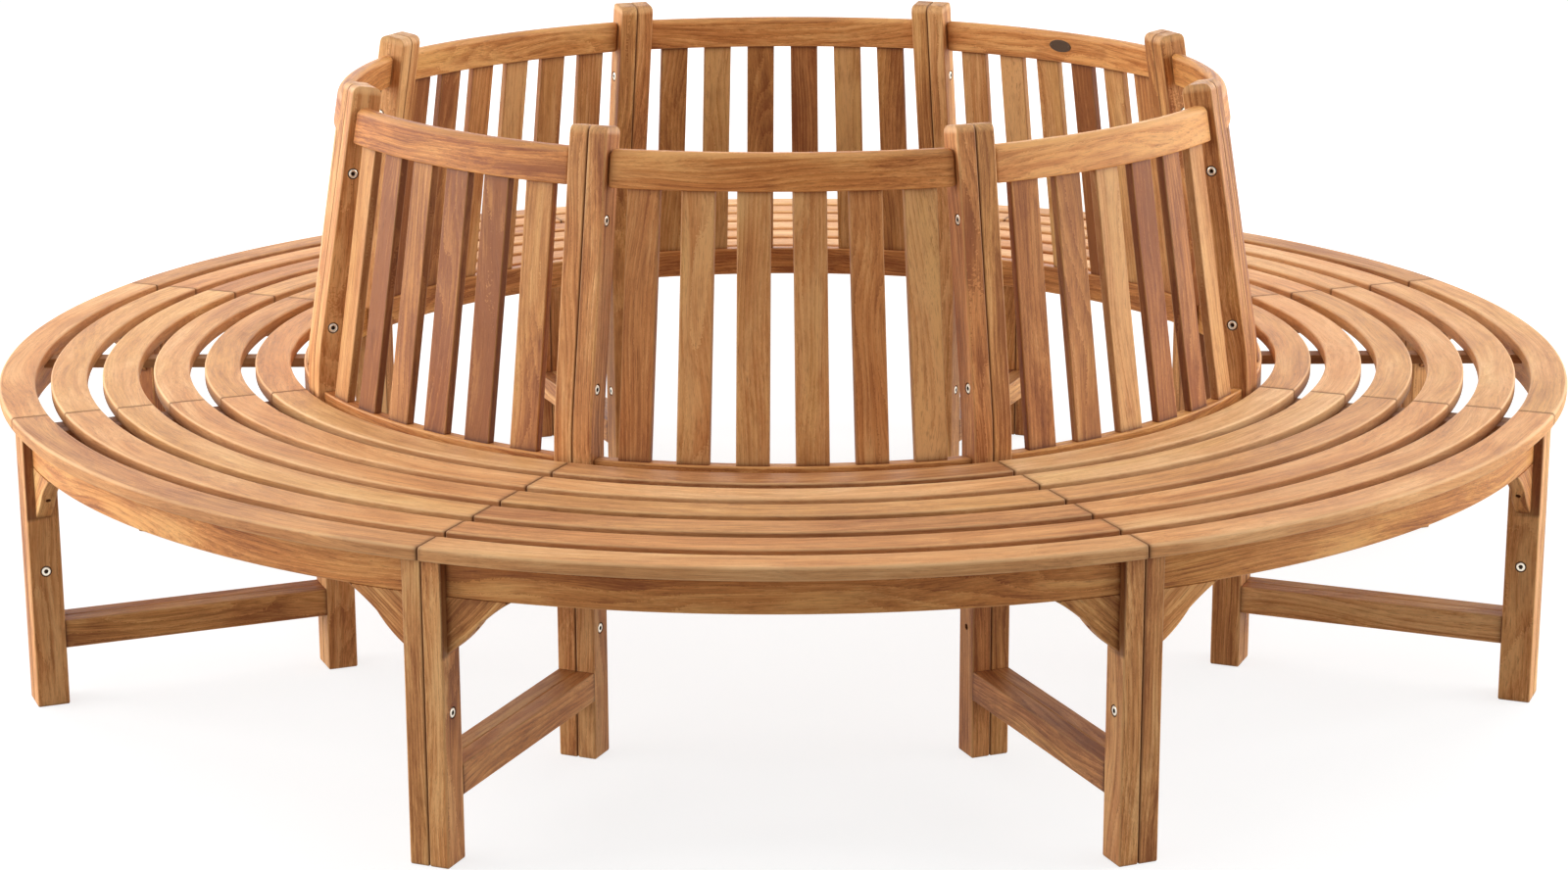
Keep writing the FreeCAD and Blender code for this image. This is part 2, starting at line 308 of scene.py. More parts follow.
def dressNode(node, boards, material):
    # The boards of one node go into one mesh. Points at one place become one vertex, and each
    # corner of a face keeps the normal worked out for it.
    kept = {"points": [], "grain": [], "tone": [], "wearAndShade": []}
    corners, faces, total = [], [], 0
    for made in boards:
        rounded = np.round(made["points"], 6)
        _, first, merged = np.unique(rounded, axis=0, return_index=True, return_inverse=True)
        merged = merged.ravel()
        for group in outwardFaces(made["faces"], made["points"], made["normals"]):
            corners.append(made["normals"][group].reshape(-1, 3))
            faces.extend((merged[group] + total).tolist())
        for title, values in kept.items():
            values.append(made[title][first])
        total += len(first)
    mesh = bpy.data.meshes.new("dressed_" + node)
    mesh.from_pydata(np.concatenate(kept.pop("points")).tolist(), [], faces)
    for title, values in kept.items():
        layer = mesh.attributes.new(title, "FLOAT_VECTOR", "POINT")
        layer.data.foreach_set("vector", np.concatenate(values).ravel())
    mesh.normals_split_custom_set(np.concatenate(corners).tolist())
    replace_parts(addPiece("dressed_" + node, mesh, material), node)


# Materials
def addNode(tree, kind, values=None, **settings):
    # Each value is set on its input, or linked to it where it is another node's output.
    made = tree.nodes.new("ShaderNode" + kind)
    for name, value in settings.items():
        setattr(made, name, value)
    for name, value in (values or {}).items():
        if isinstance(value, bpy.types.NodeSocket):
            tree.links.new(value, made.inputs[name])
        else:
            made.inputs[name].default_value = value
    return made


def mathNode(tree, operation, first, second=0.0):
    return addNode(tree, "Math", {0: first, 1: second}, operation=operation).outputs[0]


def vectorNode(tree, operation, first, second):
    return addNode(tree, "VectorMath", {0: first, 1: second}, operation=operation).outputs[0]


def mixColour(tree, blend, share, first, second):
    values = {0: share, 6: first, 7: second}
    return addNode(tree, "Mix", values, data_type="RGBA", blend_type=blend).outputs[2]


def spread(tree, value, low, high, toLow=0.0, toHigh=1.0, **settings):
    values = {"Value": value, "From Min": low, "From Max": high, "To Min": toLow, "To Max": toHigh}
    return addNode(tree, "MapRange", values, **settings).outputs[0]


def bumpNode(tree, look, height):
    values = {"Strength": look["bumpStrength"], "Distance": look["bumpHeight"], "Height": height}
    return addNode(tree, "Bump", values).outputs[0]


def newMaterial(name):
    material = bpy.data.materials.new(name)
    material.use_nodes = True
    return material, material.node_tree


teakLook = {
    # Stains from the darkest to the palest level of the grain, and the tints laid over them.
    "dark": (0.310, 0.110, 0.038),
    "honey": (0.605, 0.285, 0.116),
    "pale": (0.820, 0.500, 0.255),
    "levels": (0.12, 0.50, 0.88),
    "depth": (1.0, 1.0, 1.0),
    "ruddy": (1.0, 0.93, 0.86, 1),
    "tawny": (1.0, 1.03, 0.94, 1),
    "smudge": (0.64, 0.53, 0.46, 1),
    "dash": (0.52, 0.42, 0.36, 1),
    "pore": (0.45, 0.36, 0.30, 1),
    # Tint of darkened ends and of painted shade.
    "endAndShadeTint": (0.26, 0.17, 0.12, 1),
    # Noise layers: cells a metre along, across and through the board, then detail and roughness.
    "driftNoise": ((1.6, 7, 7), 2.0, 0.5),
    "figureNoise": ((4.0, 26, 26), 2.0, 0.5),
    "streakNoise": ((2.6, 90, 90), 4.0, 0.6),
    "fibreNoise": ((14, 520, 520), 3.0, 0.65),
    "patchNoise": ((5, 17, 17), 3.0, 0.55),
    "smudgeNoise": ((16, 48, 48), 4.0, 0.6),
    "dashNoise": ((34, 620, 620), 2.0, 0.5),
    "poreNoise": ((60, 1500, 1500), 1.0, 0.5),
    "smudgeRange": (0.52, 0.74),
    "dashRange": (0.58, 0.70),
    "poreRange": (0.60, 0.72),
    "heartWander": (0, 0.10, 0.10),
    "ringSpacing": 0.0065,
    # Shares of each layer in the level or the colour.
    "ringShare": 0.26,
    "figureShare": 1.00,
    "streakShare": 1.65,
    "fibreShare": 0.95,
    "patchShare": 0.75,
    "boardShare": 0.13,
    "hueShare": 0.6,
    "smudgeShare": 0.60,
    "dashShare": 0.55,
    "poreShare": 0.4,
    "arrisShare": 0.90,
    "endDarkening": 0.90,
    "endPower": 1.6,
    "shadeDarkening": 0.9,
    "roughness": 0.54,
    "specular": 0.28,
    "bumpStrength": 0.5,
    "bumpHeight": 0.00035,
    "fibreHeight": 0.7,
    "poreDepth": 0.5,
}


def makeTeak(name, changes):
    # Oiled teak: growth rings round the board's heart, broad figure, long streaks, fine fibres with dark
    # pores, slow patches, soft smudges and a tone for each board. Arrises are a little paler, partly as wear
    # and partly as painted highlight; the ends darken, and the faces turned to a joint darken into it with
    # painted shade.
    look = {**teakLook, **changes}
    for stain in ("dark", "honey", "pale"):
        look[stain] = tuple(a * b for a, b in zip(look[stain], look["depth"])) + (1,)
    material, tree = newMaterial(name)
    shader = tree.nodes["Principled BSDF"]

    def attribute(title):
        return addNode(tree, "Attribute", attribute_name=title).outputs["Vector"]

    def noise(source, layer):
        scale, detail, roughness = look[layer]
        values = {"Vector": vectorNode(tree, "MULTIPLY", source, scale), "Scale": 1.0, "Detail": detail,
                  "Roughness": roughness}
        return addNode(tree, "TexNoise", values).outputs

    def times(first, second):
        return mathNode(tree, "MULTIPLY", first, second)

    def tinted(colour, share, tint):
        return mixColour(tree, "MULTIPLY", share, colour, look[tint])

    grain, tone, wearAndShade = [attribute(title) for title in ("grain", "tone", "wearAndShade")]
    boardLevel, boardHue, _ = addNode(tree, "SeparateXYZ", {0: tone}).outputs
    arrisWearAndHighlight, endsAndShade, shadeMask = addNode(tree, "SeparateXYZ", {0: wearAndShade}).outputs

    drift = vectorNode(tree, "SUBTRACT", noise(grain, "driftNoise")["Color"], (0.5, 0.5, 0.5))
    wander = vectorNode(tree, "MULTIPLY", drift, look["heartWander"])
    heart = vectorNode(tree, "ADD", grain, wander)
    # A wave of scale 0.314 over the spacing has one ring in each spacing.
    values = {"Vector": heart, "Scale": 0.314 / look["ringSpacing"], "Distortion": 1.6, "Detail": 2.0,
              "Detail Scale": 6.0}
    rings = addNode(tree, "TexWave", values, wave_type="RINGS", rings_direction="X",
                    wave_profile="SAW").outputs["Fac"]
    figure = noise(heart, "figureNoise")
    streaks = noise(heart, "streakNoise")["Fac"]
    fibres = noise(heart, "fibreNoise")["Fac"]
    patches = noise(grain, "patchNoise")["Fac"]
    smudges = spread(tree, noise(grain, "smudgeNoise")["Fac"], *look["smudgeRange"])
    dashes = spread(tree, noise(heart, "dashNoise")["Fac"], *look["dashRange"])
    pores = spread(tree, noise(heart, "poreNoise")["Fac"], *look["poreRange"])

    level = 0.5
    for part, share in ((rings, "ringShare"), (figure["Fac"], "figureShare"), (streaks, "streakShare"),
                        (fibres, "fibreShare"), (patches, "patchShare")):
        level = mathNode(tree, "ADD", times(mathNode(tree, "SUBTRACT", part, 0.5), look[share]), level)
    level = mathNode(tree, "ADD", times(boardLevel, look["boardShare"]), level)
    ramp = addNode(tree, "ValToRGB", {"Fac": level})
    stops = ramp.color_ramp.elements
    stops.new(look["levels"][1])
    for stop, place, stain in zip(stops, look["levels"], ("dark", "honey", "pale")):
        stop.position, stop.color = place, look[stain]

    # The hue swings from ruddy to tawny with the board and along its figure.
    figureHue = addNode(tree, "SeparateColor", {0: figure["Color"]}).outputs[1]
    swing = spread(tree, figureHue, 0.3, 0.7, -0.7, 0.7)
    hue = mathNode(tree, "ADD", times(boardHue, look["hueShare"]), swing)
    ruddy = addNode(tree, "Clamp", {0: hue}).outputs[0]
    tawny = addNode(tree, "Clamp", {0: times(hue, -1.0)}).outputs[0]
    colour = tinted(ramp.outputs["Color"], ruddy, "ruddy")
    colour = tinted(colour, tawny, "tawny")
    for marks, title in ((smudges, "smudge"), (dashes, "dash"), (pores, "pore")):
        colour = tinted(colour, times(marks, look[title + "Share"]), title)
    # Arrises turn paler, partly as wear and partly as painted highlight.
    arris = times(arrisWearAndHighlight, times(patches, look["arrisShare"]))
    colour = mixColour(tree, "MIX", arris, colour, look["pale"])
    # The ends darken, and painted shade darkens cracks, gap sides, corners and holes.
    ends = times(mathNode(tree, "POWER", endsAndShade, look["endPower"]), look["endDarkening"])
    shadeLevel = times(shadeMask, look["shadeDarkening"])
    colour = tinted(colour, mathNode(tree, "MAXIMUM", ends, shadeLevel), "endAndShadeTint")
    tree.links.new(colour, shader.inputs["Base Color"])

    rough = spread(tree, fibres, 0.3, 0.7, look["roughness"] - 0.07, look["roughness"] + 0.09)
    tree.links.new(rough, shader.inputs["Roughness"])
    shader.inputs["Specular IOR Level"].default_value = look["specular"]
    height = mathNode(tree, "SUBTRACT", times(fibres, look["fibreHeight"]), times(pores, look["poreDepth"]))
    tree.links.new(bumpNode(tree, look, height), shader.inputs["Normal"])
    return material


metalLook = {
    "tarnish": (0.62, 0.58, 0.54, 1),
    # Colour of painted shade in hollows.
    "paintedShade": (0.035, 0.022, 0.014, 1),
    "scratchStretch": (1, 1, 6),
    "smoother": 0.1,
    "rougher": 0.16,
    "bumpStrength": 0.3,
    "bumpHeight": 0.0001,
}


def makeMetal(name, colour, roughness, scratchScale, look=metalLook):
    # Worn metal: fine marks dull it, and painted shade darkens its hollows.
    material, tree = newMaterial(name)
    shader = tree.nodes["Principled BSDF"]
    place = addNode(tree, "TexCoord").outputs["Object"]
    values = {"Vector": vectorNode(tree, "MULTIPLY", place, look["scratchStretch"]), "Scale": scratchScale,
              "Detail": 4.0}
    marks = addNode(tree, "TexNoise", values).outputs["Fac"]
    dull = mixColour(tree, "MULTIPLY", mathNode(tree, "MULTIPLY", marks, 0.5), colour, look["tarnish"])
    paintedShade = addNode(tree, "Attribute", attribute_name="paintedShade").outputs["Fac"]
    dull = mixColour(tree, "MIX", paintedShade, dull, look["paintedShade"])
    tree.links.new(dull, shader.inputs["Base Color"])
    rough = spread(tree, marks, 0.0, 1.0, roughness - look["smoother"], roughness + look["rougher"])
    tree.links.new(rough, shader.inputs["Roughness"])
    shader.inputs["Metallic"].default_value = 1.0
    tree.links.new(bumpNode(tree, look, marks), shader.inputs["Normal"])
    return material


# The seat's stains are set paler and less saturated than the other teak, partly as painted sheen for the
# light its tops reflect.
seatTeak = makeTeak("seat_teak", {"depth": (1.20, 1.27, 1.26), "ringShare": 0.08, "figureShare": 0.50,
                                  "streakShare": 0.65, "fibreShare": 0.60, "patchShare": 0.40,
                                  "smudgeShare": 0.35, "dashShare": 0.40, "roughness": 0.62,
                                  "endDarkening": 1.0})
backTeak = makeTeak("back_slat_teak", {"depth": (0.96, 0.88, 0.71), "figureShare": 0.70, "streakShare": 0.90,
                                       "fibreShare": 0.65, "boardShare": 0.26})
railTeak = makeTeak("rail_teak", {"depth": (1.04, 0.89, 0.62), "figureShare": 0.80, "streakShare": 1.15})
bracketTeak = makeTeak("bracket_teak", {"depth": (1.20, 1.14, 0.92), "smudgeShare": 0.9, "dashShare": 0.7})
frameTeak = makeTeak("frame_teak", {"depth": (1.09, 1.05, 0.90), "streakShare": 1.20})
boltMetal = makeMetal("bolt_metal", (0.97, 0.90, 0.76, 1), 0.28, 600)
plateBronze = makeMetal("plate_bronze", (0.13, 0.092, 0.066, 1), 0.38, 420)
print("materials made")

# Seat
seat = {
    "rows": 6,
    "slatWidth": 0.054,
    "slatGap": 0.0224,
    "slatThickness": ring["seatHeight"] - ring["seatUnderside"],
    "endGap": 0.0008,
    "end": (0.0024, (0.0024, 0.0024), 4),
    # How far the painted shade reaches from the slat ends into the joints between sections.
    "endShadeReach": 0.004,
    "arris": 0.0032,
    "lowerArris": 0.002,
    "nosing": 0.0048,
    "nosingUnder": 0.0035,
    "innerShade": 0.2,
    "outerShade": 0.85,
    "shadeCurve": 0.7,
}


def ringStations(half):
    return np.linspace(-half, half, ring["curveSteps"] + 1)[1:-1]


def seatSlat(row):
    middle = ring["outerRadius"] - (row - 1) * (seat["slatWidth"] + seat["slatGap"]) - seat["slatWidth"] / 2
    height = ring["seatHeight"] - seat["slatThickness"] / 2
    aside = seat["endGap"] / 2
    half = halfLength(middle, aside)
    outerTop, outerUnder = ("nosing", "nosingUnder") if row == 1 else ("arris", "lowerArris")
    corners = [seat[name] for name in (outerTop, "arris", "lowerArris", outerUnder)]
    surface = boardSurface(-half, half, seat["slatWidth"], seat["slatThickness"], corners,
                           ringStations(half), seat["end"], shadeReach=seat["endShadeReach"])
    # Sides that face a gap get painted shade towards the underside, the inner side less than the outer one.
    across, through = surface["normals"][:, 1], surface["points"][:, 2] / seat["slatThickness"]
    facesGap = np.where(across < 0, -seat["innerShade"] * across, (row > 1) * seat["outerShade"] * across)
    shaded = facesGap * np.clip(0.5 - through, 0, 1) ** seat["shadeCurve"]
    return makeBoard(surface, alongRing(surface, middle, height, aside), shaded)


for row in range(1, seat["rows"] + 1):
    slats = [atSection(seatSlat(row), k) for k in sectionNumbers]
    dressNode("seat_slats_row_%d" % row, slats, seatTeak)
print("seat slats made")

# Side frames
leg = {
    "front": 1.1915,
    "depth": 0.0465,
    "arris": 0.0026,
    "topEnd": (0.0005, (0.0005, 0.0005), 1),
    "stations": (0.14, 0.35),
    "endsAndShade": 0.6,
    # Where the painted shade in the corner beside the apron starts and how fast it fades in.
    "shadeBottom": 0.2865,
    "shadeFade": 0.006,
}
post = {
    "front": 0.7545,
    "depth": 0.0445,
    "arris": 0.0026,
    "lean": 9.6,
    "bendRadius": 0.480,
    "bendAboveSeat": 0.0375,
    "bendSteps": 12,
    "stations": (0.2, 0.6, 0.7),
    "topRounding": 0.013,
    "topThinning": 0.0022,
    "topSteps": 6,
    "endsAndShade": 0.4,
    "innerShade": 0.1,
}
foot = {"rounding": 0.003, "insetShare": 0.6, "steps": 2}
bars = {
    "arris": 0.0022,
    "stretcherBottom": 0.086,
    "stretcherHeight": 0.0415,
    "bearerHeight": 0.045,
    "topShade": 0.5,
    "bearerShade": 0.85,
}
connector = {
    # Radius and depth of the heads' counterbores and of a bore without a bolt.
    "counterbore": (0.0081, 0.0045),
    "emptyBore": (0.0042, 0.018),
    "patch": 0.012,
    "brokenEdge": 0.0005,
    "around": 24,
    "postBehindFront": 0.016,
    "postHeights": (0.755, 0.5275),
    "lowHeight": 0.187,
    "legHeight": 0.2055,
    "emptyAt": (1, 1),  # section and side whose low bore has no bolt
}
postLean = math.radians(post["lean"])
post["bendStart"] = ring["seatHeight"] + post["bendAboveSeat"] - post["bendRadius"] * math.tan(postLean / 2)
footEnd = (foot["rounding"], (foot["rounding"] * foot["insetShare"],) * 2, foot["steps"])


def aboveBend(height, behind):
    # Length up the lean at which a line behind the post's front face reaches a height.
    rise = height - post["bendStart"] - (post["bendRadius"] - behind) * math.sin(postLean)
    return rise / math.cos(postLean)


def postLengthAt(height, behind):
    # The same as a length along the post's middle line.
    reach = post["bendRadius"] - post["depth"] / 2
    return post["bendStart"] + reach * postLean + aboveBend(height, behind)


def bore(at, across, kind="counterbore"):
    radius, depth = connector[kind]
    return {"at": at, "across": across, "radius": radius, "depth": depth, "patch": connector["patch"]}


def jointShade(surface):
    # The face on the through side meets its twin at a joint of the ring: its arrises darken into the crack.
    return np.clip(surface["normals"][:, 2], 0, 1)


def backPost(side, number):
    middle = post["depth"] / 2
    rounding = post["topRounding"]
    top = postLengthAt(ring["postTop"], middle) - (middle - rounding) * math.tan(postLean)
    bendEnd = post["bendStart"] + (post["bendRadius"] - middle) * postLean
    bend = np.linspace(post["bendStart"], bendEnd, post["bendSteps"] + 1)
    behind = connector["postBehindFront"]
    holes = [bore(postLengthAt(z, behind), middle - behind) for z in connector["postHeights"]]
    kind = "emptyBore" if (number, side) == connector["emptyAt"] else "counterbore"
    holes.append(bore(connector["lowHeight"], 0.0, kind))
    topEnd = (rounding, (rounding, post["topThinning"]), post["topSteps"])
    surface = boardSurface(0.0, top, post["depth"], ring["frameThickness"], post["arris"],
                           [*bend, *post["stations"]], footEnd, topEnd, holes, (0.0, -math.inf))
    surface["wearAndShade"][:, 1] *= post["endsAndShade"]
    inward = np.clip(-surface["normals"][:, 2], 0, 1)
    shaded = np.maximum(jointShade(surface), post["innerShade"] * inward)
    return makeBoard(surface, toSide(alongPost(surface), side), shaded)


def frontLeg(side):
    # Along the board is up, across is outward and through runs across the joint.
    bottom = leg["shadeBottom"]
    surface = boardSurface(0.0, ring["seatUnderside"], leg["depth"], ring["frameThickness"], leg["arris"],
                           [*leg["stations"], bottom - leg["shadeFade"], bottom], footEnd, leg["topEnd"],
                           [bore(connector["legHeight"], 0.0)])
    points, normals = (np.roll(surface[title], -1, axis=1) for title in ("points", "normals"))
    placed = (points + [leg["front"] - leg["depth"] / 2, -frameMiddle, 0], normals)
    surface["wearAndShade"][:, 1] *= leg["endsAndShade"]
    # Painted shade in the corner between the leg's inner face and the apron with its bracket.
    height, forward, _ = surface["points"].T
    inward = np.clip(-surface["normals"][:, 2], 0, 1)
    above = np.clip((height - bottom) / leg["shadeFade"] + 1, 0, 1)
    paintedShade = inward * above * np.clip(forward / (leg["depth"] / 2 - leg["arris"]), 0, 1)
    return makeBoard(surface, toSide(placed, side), np.maximum(jointShade(surface), paintedShade))


def sideBar(side, bottom, height, shade=0.0):
    # Bar from the post's front to the leg's back: along is outward, across is up.
    low, high = post["front"], leg["front"] - leg["depth"]
    surface = boardSurface(low, high, height, ring["frameThickness"], bars["arris"], [(low + high) / 2])
    t, a, b = surface["points"].T
    nt, na, nb = surface["normals"].T
    placed = (columns(t, b - frameMiddle, a + bottom + height / 2), columns(nt, nb, na))
    shaded = shade + (1 - shade) * bars["topShade"] * np.clip(na, 0, 1)
    return makeBoard(surface, toSide(placed, side), shaded)


stretcher = (bars["stretcherBottom"], bars["stretcherHeight"])
bearer = (ring["seatUnderside"] - bars["bearerHeight"], bars["bearerHeight"], bars["bearerShade"])
for k in sectionNumbers:
    for kind, pair in (
        ("front_legs", [frontLeg(side) for side in (-1, 1)]),
        ("back_posts", [backPost(side, k) for side in (-1, 1)]),
        ("stretchers", [sideBar(side, *stretcher) for side in (-1, 1)]),
        ("seat_bearers", [sideBar(side, *bearer) for side in (-1, 1)]),
    ):
        dressNode("section_%d_%s" % (k, kind), [atSection(made, k) for made in pair], frameTeak)
print("side frames made")

# Apron and corner brackets
apron = {
    "front": 1.1785,
    "thickness": 0.022,
    "height": 0.0495,
    "arris": 0.002,
    "lowerArris": 0.0035,
    "end": (0.0006, (0.0006, 0.0006), 2),
}
bracket = {
    "thickness": 0.022,
    "length": 0.0875,
    "drop": 0.0765,
    "toe": 0.004,
    # Shares of the length and the drop where the ogee's two curves pass and meet.
    "hollow": (0.745, 0.195),
    "middle": (0.52, 0.405),
    "swell": (0.27, 0.735),
    "steps": 9,
    "arris": 0.0020,
    "arrisSteps": 3,
    "screwCell": 10,
    "screwRadius": 0.0036,
    "screwDepth": 0.012,
    "grainSlope": 41,
    "shadeReach": 0.006,
    "apronShade": 0.5,
}
apronBottom = ring["seatUnderside"] - apron["height"]


def ringBoard(front, thickness, bottom, height, corners, end, lean=0.0, centre=0.0):
    # Board between two side frames; its end is (rounding, (inset across, inset in height), steps).
    middle = front - thickness / 2
    half = halfLength(middle, frameFar + centre * math.sin(halfTurn))
    surface = boardSurface(-half, half, thickness, height, corners, ringStations(half), end)
    return makeBoard(surface, alongRing(surface, middle, bottom + height / 2, frameFar, lean, centre))


def apronBoard():
    corners = (apron["arris"], apron["arris"], apron["lowerArris"], apron["lowerArris"])
    return ringBoard(apron["front"], apron["thickness"], apronBottom, apron["height"], corners, apron["end"])


def circlePoints(first, through, last, steps):
    # Points on the circle through three points: centre plus radius (cos u, sin u), u from first to last.
    a, b, c = (np.array(p, float) for p in (first, through, last))
    rows = np.array([b - a, c - a])
    centre = np.linalg.solve(rows, 0.5 * np.array([b @ b - a @ a, c @ c - a @ a]))
    start, middle, end = (math.atan2(*(p - centre)[::-1]) for p in (a, b, c))
    sweep = (end - start + math.pi) % (2 * math.pi) - math.pi
    if ((middle - start) * np.sign(sweep)) % (2 * math.pi) > abs(sweep):
        sweep -= 2 * math.pi * np.sign(sweep)
    angle = start + np.linspace(0, 1, steps + 1) * sweep
    return centre + np.linalg.norm(a - centre) * columns(np.cos(angle), np.sin(angle))


def ogeeOutline():
    # The bracket's free edge from the apron to its toe on the leg, and the outward direction at each point.
    size = np.array([bracket["length"], -bracket["drop"]])
    hollow, middle, swell = (bracket[name] * size for name in ("hollow", "middle", "swell"))
    toe = (bracket["toe"], size[1] + bracket["toe"])
    ogee = np.concatenate([circlePoints((size[0], 0), hollow, middle, bracket["steps"])[:-1],
                           circlePoints(middle, swell, toe, bracket["steps"]), [(0, size[1])]])
    ogee = np.delete(ogee, bracket["screwCell"] + 1, axis=0)
    tangent = np.gradient(ogee, axis=0)
    away = columns(-tangent[:, 1], tangent[:, 0])
    away /= np.linalg.norm(away, axis=1, keepdims=True)
    away *= np.sign((away * (ogee - size * 0.1)).sum(1, keepdims=True))
    return ogee, away


def screwHole(corner, out):
    # The hole of the screw that holds the bracket to the leg lies in the outline's own plane there.
    middle = corner.mean(0)
    along = corner[1] - corner[0]
    along /= np.linalg.norm(along)
    out -= (out @ along) * along
    axes = np.array([along, (0, 0, 1), out / np.linalg.norm(out)])
    hole = {"at": 0.0, "across": 0.0, "radius": bracket["screwRadius"], "depth": bracket["screwDepth"]}
    points, normals, wearAndShade, faces = boredPatch(hole, (corner - middle) @ axes.T, 1, 0.0)
    return points @ axes + middle, normals @ axes, wearAndShade, faces


def bracketSurface():
    # The ogee outline carried through the thickness: each edge's arris is a quarter round, drawn in by
    # arris (1 - cos p) along the outline's own normal.
    ogee, away = ogeeOutline()
    half, arris = bracket["thickness"] / 2, bracket["arris"]
    turn = np.linspace(0, math.pi / 2, bracket["arrisSteps"] + 1)
    lean = np.concatenate([-turn[::-1], turn])
    near = half - arris * (1 - np.sin(turn))
    through = np.concatenate([-near[::-1], near])
    drawn = arris * (1 - np.cos(np.abs(lean)))
    grid = ogee[None] - drawn[:, None, None] * away[None]
    rows, count = grid.shape[:2]
    points = np.column_stack([grid.reshape(-1, 2), np.repeat(through, count)])
    sloped = np.cos(lean)[:, None, None] * away[None]
    normals = np.column_stack([sloped.reshape(-1, 2), np.repeat(np.sin(lean), count)])
    wearAndShade = np.outer(np.repeat(np.sin(2 * np.abs(lean)), count), (1, 0, 0))
    quads = quadGrid(rows, count)[:, :-1]
    keep = np.ones(quads.shape[:2], bool)
    screwAt = (rows // 2 - 1, bracket["screwCell"])
    keep[screwAt] = False
    parts = [(points, normals, wearAndShade, [quads[keep]])]
    # Each flat side is upright strips from the outline up to the apron.
    upperEdges = []
    for row, facing in ((0, -1), (rows - 1, 1)):
        above = np.column_stack([grid[row, :, 0], np.zeros(count)])
        above[-1, 0] = 0
        flat = np.column_stack([np.concatenate([grid[row], above]), np.full(2 * count, through[row])])
        parts.append(flatPart(flat, (0, 0, facing), [quadGrid(2, count)[0, :-1]]))
        upperEdges.append(flat[count:])
    # The hidden sides against the apron and the leg close the solid.
    lower, upper = upperEdges
    outline = points.reshape(rows, count, 3)
    parts.append(flatPart(np.concatenate([outline[:, 0], upper, lower[::-1]]), (0, 1, 0)))
    parts.append(flatPart(np.concatenate([outline[:, -1], [upper[-1], lower[-1]]]), (-1, 0, 0)))
    parts.append(screwHole(points[quads[screwAt]], np.append(away[bracket["screwCell"]], 0)))
    surface = joined(parts)
    # Painted shade where the bracket meets the leg, and less where it meets the apron.
    nearLeg = np.exp(-np.maximum(surface["points"][:, 0], 0) / bracket["shadeReach"])
    nearApron = np.exp(np.minimum(surface["points"][:, 1], 0) / bracket["shadeReach"])
    surface["wearAndShade"][:, 1] = np.maximum(nearLeg, bracket["apronShade"] * nearApron)
    return surface


def cornerBracket(side):
    # Each point of the bracket lies at its distance from the joint plane, and the grain runs along its slope.
    surface = bracketSurface()
    u, z, thickness = surface["points"].T
    nu, nz, nr = surface["normals"].T
    radius = apron["front"] - bracket["thickness"] / 2 + thickness
    angle = halfTurn - np.arcsin((frameFar + u) / radius)
    c, s = np.cos(angle), np.sin(angle)
    placed = (columns(radius * c, side * radius * s, apronBottom + z),
              columns(nr * c + nu * s, side * (nr * s - nu * c), nz))
    slope = math.radians(bracket["grainSlope"])
    along, across = math.cos(slope), math.sin(slope)
    surface["points"] = columns(u * along + z * across, z * along - u * across, thickness)
    return makeBoard(surface, placed)


dressNode("aprons", [atSection(apronBoard(), k) for k in sectionNumbers], railTeak)
dressNode("corner_brackets", [atSection(cornerBracket(side), k) for k in sectionNumbers for side in (-1, 1)],
          bracketTeak)
print("aprons and brackets made")

# Back
rail = {
    "thickness": 0.022,
    "setback": 0.008,
    "flattening": 0.065,
    "bottomHeight": 0.046,
    "bottomAboveSeat": 0.0015,
    "topHeight": 0.051,
    "topBelowPostTop": 0.031,
    "arris": 0.003,
    "topEdge": 0.0092,
    "lowerEdge": 0.003,
    "bottomEnd": (0.001, (0.001, 0.001), 2),
    "topEnd": (0.0075, (0.0055, 0.0075), 5),
}
backSlat = {
    "count": 6,
    "width": 0.046,
    "thickness": 0.013,
    "arris": 0.0024,
    "housing": 0.004,
    "endTrim": 0.003,
    "edgeShade": 0.5,
}
railRadius = post["front"] + rail["flattening"]
railMiddle = rail["setback"] + rail["thickness"] / 2
bottomRailTop = ring["seatHeight"] + rail["bottomAboveSeat"]
topRailTop = ring["postTop"] - rail["topBelowPostTop"]
topRailBottom = topRailTop - rail["topHeight"]


def leanPoint(height, behind):
    # Place on a line behind the leaning front face of the back, at a height.
    bent = post["front"] - post["bendRadius"] + (post["bendRadius"] - behind) * math.cos(postLean)
    return bent - aboveBend(height, behind) * math.sin(postLean)


def railCentre(place):
    # How far a rail's centre lies behind the ring's: both rails are cut to one radius, a little flatter
    # than the ring, and pass through the post at the place of their front along the joint plane.
    x = place * math.cos(halfTurn) + frameFar * math.sin(halfTurn)
    y = place * math.sin(halfTurn) - frameFar * math.cos(halfTurn)
    return math.sqrt(railRadius ** 2 - y ** 2) - x


bottomCentre = railCentre(post["front"] - rail["setback"])
topPlace = leanPoint(topRailBottom, rail["setback"])
topCentre = railCentre(topPlace)


def bottomRail():
    height = rail["bottomHeight"]
    return ringBoard(railRadius, rail["thickness"], bottomRailTop - height, height, rail["arris"],
                     rail["bottomEnd"], centre=bottomCentre)


def topRail():
    across = rail["thickness"] / math.cos(postLean)
    front = railRadius - topPlace + leanPoint(topRailTop - rail["topHeight"] / 2, rail["setback"])
    edge, low = rail["topEdge"], rail["lowerEdge"]
    return ringBoard(front, across, topRailBottom, rail["topHeight"], (edge, edge, low, low), rail["topEnd"],
                     post["lean"], topCentre)


def slatPoint(angle, radius, centre, height):
    # Where a ray from the ring's centre meets a circle about a centre behind it.
    turn = math.radians(angle)
    reach = math.sqrt(radius ** 2 - (centre * math.sin(turn)) ** 2) - centre * math.cos(turn)
    return np.array([reach * math.cos(turn), reach * math.sin(turn), height])


